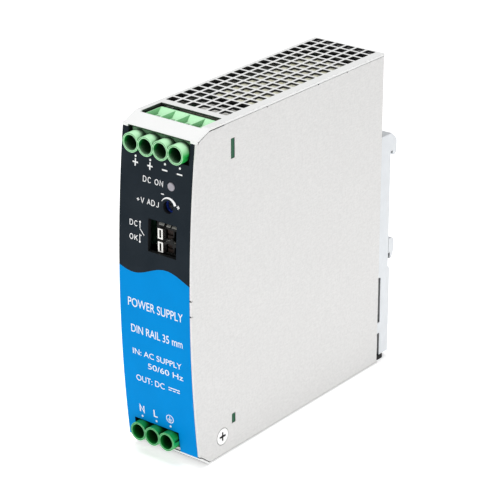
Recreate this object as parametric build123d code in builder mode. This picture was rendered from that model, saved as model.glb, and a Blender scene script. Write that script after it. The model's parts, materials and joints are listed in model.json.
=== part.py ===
from build123d import *

import os
from math import sqrt

# A slim metal-cased power supply that clips on a 35 mm mounting rail, made as separate pieces in millimetres.
# The front faces -Y, the rail is at +Y and +Z is up. The origin is under the middle of the whole object's box.
# "Depth" always means the distance behind the foremost point of the front.

# ------------------------------------------------------------------ case
CASE_WIDTH = 32.0
CASE_HEIGHT = 124.0
CASE_DEPTH = 110.0
OVERALL_DEPTH = 121.3
SHEET = 0.8
SIDE_SHEET = 0.8
SEAM = 0.05
SIDE_GAP = 0.15
BEND_RADIUS = 0.8
CUT = 1.0
HALF_WIDTH = CASE_WIDTH / 2
FRONT_Y = -OVERALL_DEPTH / 2

FRONT_RADIUS = 476.0
FRONT_APEX_Z = 62.2
SLOPE_TOP = ((3.4, 121.2), (10.1, 124.0))
SLOPE_BOTTOM = ((4.0, 3.55), (8.6, 0.0))
LIP_EDGE_Z = (4.2, 120.95)
TAB_DROP = 1.0
TAB_WIDTH = 2.6
ROOF_NOTCH = (10.0, 18.0)
ROOF_DIMPLES = (41.0, 70.0, 87.0)

SIDE_SCREW = (16.2, 7.9)
LEFT_SCREW_DEPTH = 104.5
LEFT_SCREWS_Z = (110.0, 20.0)

# ------------------------------------------------------------------ ventilation grilles and windows
GRILLE_HOLE = 3.65
GRILLE_CORNER = 0.35
GRILLE_PITCH = 4.57
GRILLE_COLUMNS = 6
GRILLE_ROWS = 19
GRILLE_X = -0.7
GRILLE_DEPTH = 66.4
WINDOW_DEPTH = (9.4, 20.3)
TOP_WINDOW_X = (-13.1, 13.1)
BOTTOM_WINDOW_X = (-12.6, 7.4)

# ------------------------------------------------------------------ front panel
LABEL_THICK = 0.2
PANEL_THICK = 1.5
PANEL_X = (-HALF_WIDTH, 15.1)
PANEL_Z = (4.4, 120.15)
OUTPUT_CUTOUT_X = (-13.35, 13.35)
OUTPUT_CUTOUT_Z = 112.5
INPUT_CUTOUT_X = (-12.7, 7.3)
INPUT_CUTOUT_Z = 12.1
LED_X, LED_Z, LED_RADIUS = 6.2, 103.7, 1.5
ADJUST_X, ADJUST_Z, ADJUST_RADIUS = 5.3, 96.3, 2.2
RELAY_OPENING_X = (-3.2, 9.2)
RELAY_OPENING_Z = (78.7, 90.5)
PANEL_NOTCHES_Z = (59.6, 65.3)

# ------------------------------------------------------------------ screw terminals
POLE_PITCH = 6.4
OUTPUT_POLES = [-9.6, -3.2, 3.2, 9.6]
INPUT_POLES = [-9.0, -2.6, 3.8]
OUTPUT_ENTRY_Z = 116.2
INPUT_ENTRY_Z = 8.5
TUBE_RADIUS = 3.45
WIRE_BORE_RADIUS = 2.75
TUBE_GROOVE = (3.02, 3.18)
TUBE_FLAT = 3.0
BLOCK_FRONT = 5.0
BLOCK_REAR = 20.0
BLOCK_ROOF = 6.5
BLOCK_FLOOR = -5.0
CHAMBER_DEPTH = (10.2, 18.2)
CHAMBER_HALF_WIDTH = 2.75
CHAMBER_HEIGHT = (-4.3, 2.9)
WELL_MOUTH = (11.5, 19.4)
WELL_THROAT = (12.1, 16.6)
WELL_THROAT_HEIGHT = 4.75
SCREW_DEPTH = 14.2
SCREW_HEAD_RADIUS = 1.9
SCREW_SHANK_RADIUS = 1.45
SCREW_HEIGHTS = (-0.2, 3.55, 4.65)
CAGE_DEPTH = (10.45, 17.95)
CAGE_HALF_WIDTH = 2.5
CAGE_HEIGHT = (-4.1, 0.6)
CAGE_WALL = 0.7
BAR_HEIGHT = (-0.9, -0.3)

# ------------------------------------------------------------------ circuit boards
BOARD = 1.6
TERMINAL_BOARD_DEPTH = 21.5
CONTROL_BOARD_DEPTH = 11.2
MAIN_BOARD_X = -11.6
COMPONENT_X = MAIN_BOARD_X + BOARD
SLOT_DEPTH = (21.3, 23.35)
SLOTS_Z = ((110.0, 117.2), (11.0, 14.7))
STANDOFFS = [(27.5, 7.0), (104.0, 7.0), (27.5, 118.0), (104.5, 88.0)]

# ------------------------------------------------------------------ relay contact terminal
RELAY_FRONT = 2.75
RELAY_X = (-0.9, 10.2)
RELAY_Z = (77.4, 91.8)
RELAY_POLES_Z = (85.8, 80.97)
RELAY_ENTRY_X = 1.45
RELAY_FRAME_FRONT = 1.5
RELAY_FRAME_HALF = 1.9
RELEASE_X = 4.6

# ------------------------------------------------------------------ rail bracket
RAIL_FACE = 117.6
BRACKET_HALF_WIDTH = 14.5
BRACKET_SHEET = 1.2
BRACKET_TOP = 91.0
BRACKET_BOTTOM = 2.1
BRACKET_RELIEF = 113.1
BRACKET_LEG = 118.7
RAIL_TOP_Z = 83.8
RAIL_BOTTOM_Z = 48.7
BRACKET_SCREWS = ((-7.0, 78.0), (7.0, 78.0))
SPRING_Z = (52.0, 69.0)
SPRING_DEPTH = 113.7


def behind(depth):
    """Y of a point that lies this far behind the foremost point of the front."""
    return FRONT_Y + depth


def facing_front(depth):
    """A plane across the object at a depth: local X is X, local Y is Z, and it faces forwards."""
    return Plane.XZ.offset(-behind(depth))


def across(x):
    """A plane along the object at an x: local X is Y and local Y is Z."""
    return Plane.YZ.offset(x)


def level(z):
    """A horizontal plane at a height."""
    return Plane.XY.offset(z)


def middle(span):
    """The middle of a (low, high) pair."""
    return (span[0] + span[1]) / 2


def size(span):
    """The length of a (low, high) pair."""
    return abs(span[1] - span[0])


def front_arc(z, inset=0.0):
    """Depth of the bowed front at a height, or of a surface this far inside it."""
    return FRONT_RADIUS - sqrt((FRONT_RADIUS - inset) ** 2 - (z - FRONT_APEX_Z) ** 2)


def inner_slope(slope, z):
    """Depth of the inner face of a sloped lip at a height."""
    run, rise = slope[1][0] - slope[0][0], slope[1][1] - slope[0][1]
    return slope[0][0] + (z - slope[0][1]) * run / rise + SHEET * sqrt(run**2 + rise**2) / abs(rise)


def add_box(x, depth, z, mode=Mode.ADD):
    """A box given by its (low, high) spans."""
    with Locations((middle(x), behind(middle(depth)), middle(z))):
        Box(size(x), size(depth), size(z), mode=mode)


def add_rod_y(x, z, depth, radius, mode=Mode.ADD):
    """A round bar that runs front to back."""
    with BuildSketch(facing_front(depth[0])) as disc:
        with Locations((x, z)):
            Circle(radius)
    extrude(disc.sketch, amount=-size(depth), mode=mode)


def add_rod_x(depth, z, x, radius, mode=Mode.ADD):
    """A round bar that runs left to right."""
    with BuildSketch(across(x[0])) as disc:
        with Locations((behind(depth), z)):
            Circle(radius)
    extrude(disc.sketch, amount=x[1] - x[0], mode=mode)


def add_rod_z(x, depth, z, radius, mode=Mode.ADD):
    """A round bar that runs from one height to another."""
    with BuildSketch(level(z[0])) as disc:
        with Locations((x, behind(depth))):
            Circle(radius)
    extrude(disc.sketch, amount=z[1] - z[0], mode=mode)


def add_cone_x(depth, z, x, radii, mode=Mode.ADD):
    """A cone between two x positions, with its radius at each."""
    with BuildSketch(across(x[0])) as start:
        with Locations((behind(depth), z)):
            Circle(radii[0])
    with BuildSketch(across(x[1])) as end:
        with Locations((behind(depth), z)):
            Circle(radii[1])
    loft([start.sketch, end.sketch], mode=mode)


def add_profile(points, x, mode=Mode.ADD):
    """A prism across the object from a closed outline of (depth, z) points."""
    with BuildSketch(across(x[0])) as outline:
        with BuildLine():
            Polyline([(behind(depth), z) for depth, z in points], close=True)
        make_face()
    extrude(outline.sketch, amount=size(x), mode=mode)


def add_bowed_plate(x, z, inset, thick, mode=Mode.ADD):
    """A plate that follows the bowed front, from an inset to an inset plus its thickness."""
    corners = [(inset, z[0]), (inset, z[1]), (inset + thick, z[1]), (inset + thick, z[0])]
    low_out, high_out, high_in, low_in = [(behind(front_arc(h, d)), h) for d, h in corners]
    mid_out = (behind(front_arc(middle(z), inset)), middle(z))
    mid_in = (behind(front_arc(middle(z), inset + thick)), middle(z))
    with BuildSketch(across(x[0])) as outline:
        with BuildLine():
            ThreePointArc(low_out, mid_out, high_out)
            Line(high_out, high_in)
            ThreePointArc(high_in, mid_in, low_in)
            Line(low_in, low_out)
        make_face()
    extrude(outline.sketch, amount=size(x), mode=mode)


def finish(builder, name):
    """Names a finished piece and writes its file."""
    builder.part.label = name
    export_step(builder.part, f"parts/{name}.step")


# ================================================================== case


def make_cover():
    """Left side, perforated top and bottom, and the sloped front lips, folded from one sheet."""
    lip, bend = SLOPE_TOP
    low_lip, low_bend = SLOPE_BOTTOM
    outline = [lip, bend, (CASE_DEPTH, CASE_HEIGHT), (CASE_DEPTH, 0), low_bend, low_lip]
    low_edge, high_edge = LIP_EDGE_Z
    roof = CASE_HEIGHT - SHEET
    inside = [
        (-5, high_edge),
        (inner_slope(SLOPE_TOP, high_edge), high_edge),
        (inner_slope(SLOPE_TOP, roof), roof),
        (CASE_DEPTH, roof),
        (CASE_DEPTH, SHEET),
        (inner_slope(SLOPE_BOTTOM, SHEET), SHEET),
        (inner_slope(SLOPE_BOTTOM, low_edge), low_edge),
        (-5, low_edge),
    ]
    skin = LABEL_THICK + PANEL_THICK + SEAM
    inside_x = (-HALF_WIDTH + SHEET, HALF_WIDTH)
    with BuildPart() as cover:
        add_profile(outline, (-HALF_WIDTH, HALF_WIDTH))
        folded = cover.edges().group_by(Axis.X)[0].filter_by(lambda edge: edge.center().Y > FRONT_Y + lip[0] + 1)
        fillet(folded.filter_by(lambda edge: edge.center().Y < FRONT_Y + CASE_DEPTH - 1), BEND_RADIUS)
        add_profile(inside, inside_x, mode=Mode.SUBTRACT)
        add_bowed_plate((-HALF_WIDTH - CUT, HALF_WIDTH), (4.34, 120.2), -2.0, 2.0 + skin, mode=Mode.SUBTRACT)
        # folded corner tabs that close the ends of the front's upper edge
        for start in (-HALF_WIDTH, HALF_WIDTH - TAB_WIDTH):
            add_box((start, start + TAB_WIDTH), (lip[0], lip[0] + SHEET), (lip[1] - TAB_DROP, lip[1]))
        # ear for the lower side screw
        add_box((14.1, 15.1), (11.5, 20.8), (SHEET, 13.0))
        add_rod_x(*SIDE_SCREW, (13, 16), 1.6, mode=Mode.SUBTRACT)
        add_cone_x(*SIDE_SCREW, (15.1, 14.3), (2.3, 1.5), mode=Mode.SUBTRACT)
        # windows over the clamping screws
        window_tops = ((TOP_WINDOW_X, CASE_HEIGHT), (BOTTOM_WINDOW_X, 0.0))
        for window_x, z in window_tops:
            add_box(window_x, WINDOW_DEPTH, (z - SHEET - 0.6, z + SHEET + 0.6), mode=Mode.SUBTRACT)
        # grilles
        for z in (CASE_HEIGHT - SHEET - CUT, -CUT):
            with BuildSketch(level(z)):
                with Locations((GRILLE_X, behind(GRILLE_DEPTH))):
                    with GridLocations(GRILLE_PITCH, GRILLE_PITCH, GRILLE_COLUMNS, GRILLE_ROWS):
                        RectangleRounded(GRILLE_HOLE, GRILLE_HOLE, GRILLE_CORNER)
            extrude(amount=SHEET + 2 * CUT, mode=Mode.SUBTRACT)
        # countersinks for the two left side screws
        for z in LEFT_SCREWS_Z:
            add_countersink(-HALF_WIDTH, LEFT_SCREW_DEPTH, z, 1)
    finish(cover, "cover")


def add_countersink(x, depth, z, inward):
    """A 90 degree countersink and its clearance hole, sunk from a side face; inward is +1 or -1."""
    add_cone_x(depth, z, (x, x + inward * 1.65), (3.3, 1.6), mode=Mode.SUBTRACT)
    add_rod_x(depth, z, (x, x + inward * 2.4), 1.6, mode=Mode.SUBTRACT)


def make_chassis():
    """Right side and rear wall, with a flange that the left side screws into."""
    side_x = (HALF_WIDTH - SIDE_SHEET, HALF_WIDTH)
    top = CASE_HEIGHT - SHEET - SIDE_GAP
    bottom = SHEET + SIDE_GAP
    low, high = 5.0, 120.1
    start = (behind(front_arc(low)), low)
    end = (behind(front_arc(high)), high)
    upper = [(4.55, high), (4.55, 120.5), (inner_slope(SLOPE_TOP, top) + 0.4, top), (CASE_DEPTH, top)]
    lower = [(CASE_DEPTH, bottom), (inner_slope(SLOPE_BOTTOM, bottom) + 0.4, bottom), (4.7, 4.5)]
    with BuildPart() as chassis:
        with BuildSketch(across(side_x[0])):
            with BuildLine():
                ThreePointArc(start, (behind(front_arc(62.5)), 62.5), end)
                Polyline([end, *[(behind(depth), z) for depth, z in upper + lower], start])
            make_face()
        extrude(amount=SIDE_SHEET)
        add_box((-HALF_WIDTH + SHEET + SEAM, side_x[0]), (CASE_DEPTH - SIDE_SHEET, CASE_DEPTH), (bottom, top))
        fillet(chassis.edges().filter_by(Axis.Z).group_by(Axis.Y)[-1].sort_by(Axis.X)[-1:], BEND_RADIUS - 0.1)
        flange_x = (-HALF_WIDTH + SHEET + SEAM, -HALF_WIDTH + SHEET + SEAM + SIDE_SHEET)
        add_box(flange_x, (99.5, CASE_DEPTH - SIDE_SHEET), (4.0, 120.0))
        for z in SLOTS_Z:
            add_box((14, 17), SLOT_DEPTH, z, mode=Mode.SUBTRACT)
        for z in PANEL_NOTCHES_Z:
            add_box((14, 17), (-1.0, 0.6), (z - 0.3, z + 0.3), mode=Mode.SUBTRACT)
        # open notch and three dimples in the upper edge of the side
        add_box((14, 17), ROOF_NOTCH, (top - 0.2, top + CUT), mode=Mode.SUBTRACT)
        for depth in ROOF_DIMPLES:
            add_rod_x(depth, top, (14, 17), 0.35, mode=Mode.SUBTRACT)
        add_countersink(HALF_WIDTH, *SIDE_SCREW, -1)
        for z in LEFT_SCREWS_Z:
            add_countersink(-HALF_WIDTH, LEFT_SCREW_DEPTH, z, 1)
        for x, z in BRACKET_SCREWS:
            add_rod_y(x, z, (CASE_DEPTH - 2, CASE_DEPTH + 2), 1.6, mode=Mode.SUBTRACT)
    finish(chassis, "chassis")


def cut_front_openings(depth):
    """The cut-outs for the terminals, the lamp, the adjuster and the contact terminal."""
    add_box(OUTPUT_CUTOUT_X, depth, (OUTPUT_CUTOUT_Z, CASE_HEIGHT), mode=Mode.SUBTRACT)
    add_box(INPUT_CUTOUT_X, depth, (0, INPUT_CUTOUT_Z), mode=Mode.SUBTRACT)
    add_box(RELAY_OPENING_X, depth, RELAY_OPENING_Z, mode=Mode.SUBTRACT)
    add_rod_y(LED_X, LED_Z, depth, LED_RADIUS + SEAM, mode=Mode.SUBTRACT)
    add_rod_y(ADJUST_X, ADJUST_Z, depth, ADJUST_RADIUS, mode=Mode.SUBTRACT)


def make_front_panel():
    """Bowed moulded front with two snap tabs at its right edge."""
    with BuildPart() as front_panel:
        add_bowed_plate(PANEL_X, PANEL_Z, LABEL_THICK, PANEL_THICK)
        for z in PANEL_NOTCHES_Z:
            add_box((14.0, 15.1), (1.6, 6.0), (z - 2.0, z + 2.0))
        cut_front_openings((-5, 10))
    finish(front_panel, "front_panel")


def make_front_label():
    """Printed film on the front panel."""
    with BuildPart() as front_label:
        add_bowed_plate((PANEL_X[0] + SEAM, PANEL_X[1]), (PANEL_Z[0] + 0.1, PANEL_Z[1] - SEAM), 0.0, LABEL_THICK)
        cut_front_openings((-5, 10))
    finish(front_label, "front_label")


def add_cross_recess(x, depth, z, inward):
    """A cross-shaped driver recess in the head of a screw that faces left or right."""
    for wide, tall in ((0.8, 3.4), (3.4, 0.8)):
        spans_x = (x, x + inward * 1.2)
        add_box(
            (min(spans_x), max(spans_x)),
            (depth - wide / 2, depth + wide / 2),
            (z - tall / 2, z + tall / 2),
            mode=Mode.SUBTRACT,
        )


def make_case_screws():
    """Three countersunk screws: one in the right side and two in the left."""
    right = (HALF_WIDTH, *SIDE_SCREW, -1, 7.0)
    left = [(-HALF_WIDTH, LEFT_SCREW_DEPTH, z, 1, 4.0) for z in LEFT_SCREWS_Z]
    with BuildPart() as case_screws:
        for x, depth, z, inward, long in [right, *left]:
            face = x + inward * 0.05
            add_cone_x(depth, z, (face, face + inward * 1.6), (3.05, 1.4))
            add_rod_x(depth, z, (face, face + inward * long), 1.4)
            add_cross_recess(face, depth, z, inward)
    finish(case_screws, "case_screws")


# ================================================================== screw terminals


def add_well(x, entry_z, up):
    """The funnel that guides a screwdriver to a clamping screw."""
    with BuildSketch(level(entry_z + up * (BLOCK_ROOF + 0.01))) as mouth:
        with Locations((x, behind(middle(WELL_MOUTH)))):
            Rectangle(5.8, size(WELL_MOUTH))
    with BuildSketch(level(entry_z + up * WELL_THROAT_HEIGHT)) as throat:
        with Locations((x, behind(middle(WELL_THROAT)))):
            Rectangle(4.4, size(WELL_THROAT))
    loft([mouth.sketch, throat.sketch], ruled=True, mode=Mode.SUBTRACT)


def add_groove(x, z):
    """A fine ring groove in the face of a wire tube."""
    with BuildSketch(facing_front(0.0)) as ring:
        with Locations((x, z)):
            Circle(TUBE_GROOVE[1])
            Circle(TUBE_GROOVE[0], mode=Mode.SUBTRACT)
    extrude(ring.sketch, amount=-0.3, mode=Mode.SUBTRACT)


def make_terminal_housing(name, poles, entry_z, up):
    """Moulded block with a wire tube, a clamp chamber and a screw well for each pole; up is +1 or -1."""
    half = POLE_PITCH / 2
    block_x = (poles[0] - half, poles[-1] + half)

    def at(height):
        return entry_z + up * height

    outline = [
        (BLOCK_FRONT, at(BLOCK_FLOOR)),
        (BLOCK_FRONT, at(3.6)),
        (10.8, at(BLOCK_ROOF)),
        (BLOCK_REAR, at(BLOCK_ROOF)),
        (BLOCK_REAR, at(BLOCK_FLOOR)),
    ]
    with BuildPart() as housing:
        add_profile(outline, block_x)
        # joining rib along the right side
        add_box((block_x[1], block_x[1] + 0.4), (BLOCK_FRONT + 0.4, 19.0), sorted((at(-0.4), at(0.5))))
        for x in poles:
            add_rod_y(x, entry_z, (0.0, BLOCK_FRONT + 0.5), TUBE_RADIUS)
        for x in poles:
            add_rod_y(x, entry_z, (-CUT, CHAMBER_DEPTH[1]), WIRE_BORE_RADIUS, mode=Mode.SUBTRACT)
            add_groove(x, entry_z)
            wide = (x - CHAMBER_HALF_WIDTH, x + CHAMBER_HALF_WIDTH)
            tall = sorted(at(height) for height in CHAMBER_HEIGHT)
            add_box(wide, CHAMBER_DEPTH, tall, mode=Mode.SUBTRACT)
            add_well(x, entry_z, up)
            add_rod_z(x, SCREW_DEPTH, (at(3.5), at(5.2)), SCREW_HEAD_RADIUS + 0.1, mode=Mode.SUBTRACT)
            add_rod_z(x, SCREW_DEPTH, (at(2.5), at(3.6)), SCREW_SHANK_RADIUS + 0.15, mode=Mode.SUBTRACT)
            slot = sorted((at(BAR_HEIGHT[0] - SEAM), at(BAR_HEIGHT[1] + SEAM)))
            add_box((x - 0.9, x + 0.9), (CHAMBER_DEPTH[1] - 0.5, BLOCK_REAR + CUT), slot, mode=Mode.SUBTRACT)
        # flat on the outer side of the last tube
        beside = (poles[-1] + TUBE_FLAT, poles[-1] + TUBE_RADIUS + CUT)
        add_box(beside, (0.8, BLOCK_FRONT), sorted((at(-0.4), at(-3.0))), mode=Mode.SUBTRACT)
    finish(housing, name)


def make_terminal_pins(name, poles, entry_z, up):
    """Contact bars that lie in the clamp cages and pass through the terminal board."""
    tall = sorted(entry_z + up * height for height in BAR_HEIGHT)
    with BuildPart() as pins:
        for x in poles:
            add_box((x - 1.5, x + 1.5), (10.7, CHAMBER_DEPTH[1] - 0.1), tall)
            add_box((x - 0.85, x + 0.85), (17.0, TERMINAL_BOARD_DEPTH + BOARD + 1.0), tall)
    finish(pins, name)


def make_terminal_screw(name, x, entry_z, up):
    """Captive slotted clamping screw."""
    tip, under_head, top = [entry_z + up * height for height in SCREW_HEIGHTS]
    slot_floor = top - up * 0.6
    with BuildPart() as screw:
        add_rod_z(x, SCREW_DEPTH, (under_head, top), SCREW_HEAD_RADIUS)
        add_rod_z(x, SCREW_DEPTH, (tip, under_head), SCREW_SHANK_RADIUS)
        slot_z = sorted((slot_floor, top + up * CUT))
        add_box((x - 2.2, x + 2.2), (SCREW_DEPTH - 0.3, SCREW_DEPTH + 0.3), slot_z, mode=Mode.SUBTRACT)
        add_box((x - 0.3, x + 0.3), (SCREW_DEPTH - 1.3, SCREW_DEPTH + 1.3), slot_z, mode=Mode.SUBTRACT)
    finish(screw, name)


def make_clamp_cage(name, x, entry_z, up):
    """Sleeve that the screw draws towards the contact bar to clamp the wire."""
    bottom, top = [entry_z + up * height for height in CAGE_HEIGHT]
    window = sorted((bottom + up * CAGE_WALL, top - up * (CAGE_WALL + 0.1)))
    inner = CAGE_HALF_WIDTH - CAGE_WALL
    with BuildPart() as cage:
        add_box((x - CAGE_HALF_WIDTH, x + CAGE_HALF_WIDTH), CAGE_DEPTH, sorted((bottom, top)))
        add_box((x - inner, x + inner), (CAGE_DEPTH[0] - CUT, CAGE_DEPTH[1] + CUT), window, mode=Mode.SUBTRACT)
        hole_z = (top - up * 2.0, top + up * CUT)
        add_rod_z(x, SCREW_DEPTH, hole_z, SCREW_SHANK_RADIUS + SEAM, mode=Mode.SUBTRACT)
    finish(cage, name)


def make_terminals():
    """Both screw terminal blocks with their clamps."""
    blocks = (("output", OUTPUT_POLES, OUTPUT_ENTRY_Z, 1), ("input", INPUT_POLES, INPUT_ENTRY_Z, -1))
    for block, poles, entry_z, up in blocks:
        make_terminal_housing(f"{block}_terminal_housing", poles, entry_z, up)
        make_terminal_pins(f"{block}_contact_bars", poles, entry_z, up)
        for number, x in enumerate(poles, start=1):
            make_terminal_screw(f"{block}_screw_{number}", x, entry_z, up)
            make_clamp_cage(f"{block}_clamp_{number}", x, entry_z, up)


# ================================================================== relay contact terminal


RIDGE_OUTLINE = [
    (2.9, 82.7),
    (3.8, 83.7),
    (5.8, 84.4),
    (6.3, 85.2),
    (7.1, 84.0),
    (9.1, 83.4),
    (9.1, 82.5),
    (8.0, 82.5),
    (7.0, 81.5),
    (6.5, 82.9),
    (4.6, 83.0),
    (3.5, 82.1),
]


def make_relay_terminal():
    """Two spring clamp poles, one above the other, each with a release button."""
    rear = CONTROL_BOARD_DEPTH - SEAM
    with BuildPart() as housing:
        add_box(RELAY_X, (RELAY_FRONT, rear), RELAY_Z)
        for z in RELAY_POLES_Z:
            pocket_x = (RELAY_ENTRY_X - 1.15, RELAY_ENTRY_X + 1.15)
            pocket_z = (z - RELAY_FRAME_HALF - SEAM, z + RELAY_FRAME_HALF + SEAM)
            add_box(pocket_x, (2, 9.5), pocket_z, mode=Mode.SUBTRACT)
            add_box((RELEASE_X - 1.6, RELEASE_X + 1.6), (2, 10.2), (z - 1.8, z + 1.8), mode=Mode.SUBTRACT)
            add_box((6.6, 9.0), (2, 5.4), (z - 1.8, z + 1.8), mode=Mode.SUBTRACT)
            add_rod_y(RELAY_ENTRY_X, z, (9, 12), 0.5, mode=Mode.SUBTRACT)
        # forked ridge between the two poles, and a lip with a notch above them
        with BuildSketch(facing_front(RELAY_FRONT + 0.1)) as ridge:
            with BuildLine():
                Polyline(RIDGE_OUTLINE, close=True)
            make_face()
        extrude(ridge.sketch, amount=1.3)
        for start, end in ((0.6, 2.9), (3.9, 5.7), (6.3, 9.1)):
            add_profile([(RELAY_FRONT, 88.4), (1.7, 88.7), (1.7, 89.0), (RELAY_FRONT, 89.9)], (start, end))
    finish(housing, "relay_terminal_housing")

    with BuildPart() as contacts:
        for z in RELAY_POLES_Z:
            frame_z = (z - RELAY_FRAME_HALF, z + RELAY_FRAME_HALF)
            slot_x = (RELAY_ENTRY_X - 0.42, RELAY_ENTRY_X + 0.42)
            add_box((RELAY_ENTRY_X - 1.1, RELAY_ENTRY_X + 1.1), (RELAY_FRAME_FRONT, 9.4), frame_z)
            add_box(slot_x, (1, 8.9), (z - 1.4, z + 1.4), mode=Mode.SUBTRACT)
            add_rod_y(RELAY_ENTRY_X, z, (9.0, CONTROL_BOARD_DEPTH + BOARD + 0.8), 0.45)
    finish(contacts, "relay_terminal_contacts")

    for name, z in zip(("upper", "lower"), RELAY_POLES_Z):
        with BuildPart() as button:
            add_box((RELEASE_X - 1.45, RELEASE_X + 1.45), (3.2, 8.4), (z - 1.65, z + 1.65))
            add_box((RELEASE_X - 2.0, RELEASE_X + 2.0), (2.6, 3.7), (z - 0.4, z + 0.4), mode=Mode.SUBTRACT)
            front_edges = button.edges().filter_by(Axis.Z).group_by(Axis.Y)[0]
            chamfer(front_edges, 0.25)
        finish(button, f"relay_release_{name}")


# ================================================================== lamp and adjuster


def make_lamp():
    """Light pipe behind the front and the diode that shines into it."""
    tip = front_arc(LED_Z) - 0.15
    with BuildPart() as light_pipe:
        add_rod_y(LED_X, LED_Z, (tip, 9.8), LED_RADIUS)
        chamfer(light_pipe.edges().group_by(Axis.Y)[0], 0.2)
        add_rod_y(LED_X, LED_Z, (4.2, 5.2), LED_RADIUS + 0.5)
    finish(light_pipe, "led_light_pipe")

    with BuildPart() as status_led:
        add_box((LED_X - 1.4, LED_X + 1.4), (10.3, CONTROL_BOARD_DEPTH), (LED_Z - 1.0, LED_Z + 1.0))
        add_rod_y(LED_X, LED_Z, (9.95, 10.5), 0.8)
    finish(status_led, "status_led")


def make_adjuster():
    """Trimming potentiometer: square body with a slotted rotor that a screwdriver turns."""
    half = 3.3
    pit = 1.95
    with BuildPart() as body:
        add_box((ADJUST_X - half, ADJUST_X + half), (3.2, 9.2), (ADJUST_Z - half, ADJUST_Z + half))
        add_rod_y(ADJUST_X, ADJUST_Z, (2, 5.4), pit, mode=Mode.SUBTRACT)
        for x, z in ((-2.2, -2.0), (2.2, -2.0), (0.0, 2.0)):
            add_rod_y(ADJUST_X + x, ADJUST_Z + z, (9.0, CONTROL_BOARD_DEPTH + BOARD + 0.7), 0.3)
    finish(body, "trimmer_body")

    with BuildPart() as rotor:
        add_rod_y(ADJUST_X, ADJUST_Z, (3.9, 5.35), pit - 0.08)
        add_box((ADJUST_X - 1.6, ADJUST_X + 1.6), (3, 4.7), (ADJUST_Z - 0.3, ADJUST_Z + 0.3), mode=Mode.SUBTRACT)
        add_box((ADJUST_X - 0.3, ADJUST_X + 0.3), (3, 4.7), (ADJUST_Z - 1.6, ADJUST_Z + 1.6), mode=Mode.SUBTRACT)
    finish(rotor, "trimmer_rotor")


# ================================================================== circuit boards


def make_boards():
    """Terminal board across the front, small control board before it, and the main board along the left."""
    terminal_depth = (TERMINAL_BOARD_DEPTH, TERMINAL_BOARD_DEPTH + BOARD)
    with BuildPart() as terminal_board:
        add_box((-14.5, 14.9), terminal_depth, (2.5, 121.5))
        for z in SLOTS_Z:
            add_box((14.0, 15.9), terminal_depth, (z[0] + 0.15, z[1] - 0.15))
        for poles, entry_z, up in ((OUTPUT_POLES, OUTPUT_ENTRY_Z, 1), (INPUT_POLES, INPUT_ENTRY_Z, -1)):
            tall = sorted(entry_z + up * height for height in BAR_HEIGHT)
            hole_z = (tall[0] - SEAM, tall[1] + SEAM)
            for x in poles:
                add_box((x - 0.9, x + 0.9), (20, 25), hole_z, mode=Mode.SUBTRACT)
    finish(terminal_board, "terminal_board")

    with BuildPart() as control_board:
        add_box((-13.0, 14.0), (CONTROL_BOARD_DEPTH, CONTROL_BOARD_DEPTH + BOARD), (76.0, 108.0))
        for z in RELAY_POLES_Z:
            add_rod_y(RELAY_ENTRY_X, z, (10, 14), 0.5, mode=Mode.SUBTRACT)
        for x, z in ((-2.2, -2.0), (2.2, -2.0), (0.0, 2.0)):
            add_rod_y(ADJUST_X + x, ADJUST_Z + z, (10, 14), 0.35, mode=Mode.SUBTRACT)
    finish(control_board, "control_board")

    with BuildPart() as board_header:
        gap = (CONTROL_BOARD_DEPTH + BOARD, TERMINAL_BOARD_DEPTH)
        add_box((-11.0, -6.0), gap, (90.0, 104.0))
    finish(board_header, "board_header")

    with BuildPart() as main_board:
        add_box((MAIN_BOARD_X, COMPONENT_X), (24.2, 107.5), (3.0, 121.0))
        for depth, z in STANDOFFS:
            add_rod_x(depth, z, (MAIN_BOARD_X - CUT, COMPONENT_X + CUT), 1.6, mode=Mode.SUBTRACT)
    finish(main_board, "main_board")

    with BuildPart() as insulating_sheet:
        add_box((-14.6, -14.2), (24.0, 98.0), (3.0, 121.0))
    finish(insulating_sheet, "insulating_sheet")

    with BuildPart() as board_standoffs:
        for depth, z in STANDOFFS:
            with BuildSketch(across(COMPONENT_X)):
                with Locations((behind(depth), z)):
                    RegularPolygon(2.9, 6)
            extrude(amount=HALF_WIDTH - SIDE_SHEET - COMPONENT_X)
            add_rod_x(depth, z, (COMPONENT_X - CUT, COMPONENT_X + 8), 1.3, mode=Mode.SUBTRACT)
    finish(board_standoffs, "board_standoffs")

    with BuildPart() as board_screws:
        for depth, z in STANDOFFS:
            add_rod_x(depth, z, (MAIN_BOARD_X - 1.8, MAIN_BOARD_X), 2.8)
            add_rod_x(depth, z, (MAIN_BOARD_X - 0.5, COMPONENT_X + 6), 1.25)
    finish(board_screws, "board_screws")


# ================================================================== components on the main board


def add_ring(depth, z, radii, x, mode=Mode.ADD):
    """A ring that lies flat against the main board."""
    with BuildSketch(across(x[0])) as ring:
        with Locations((behind(depth), z)):
            Circle(radii[1])
            Circle(radii[0], mode=Mode.SUBTRACT)
    extrude(ring.sketch, amount=size(x), mode=mode)


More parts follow.
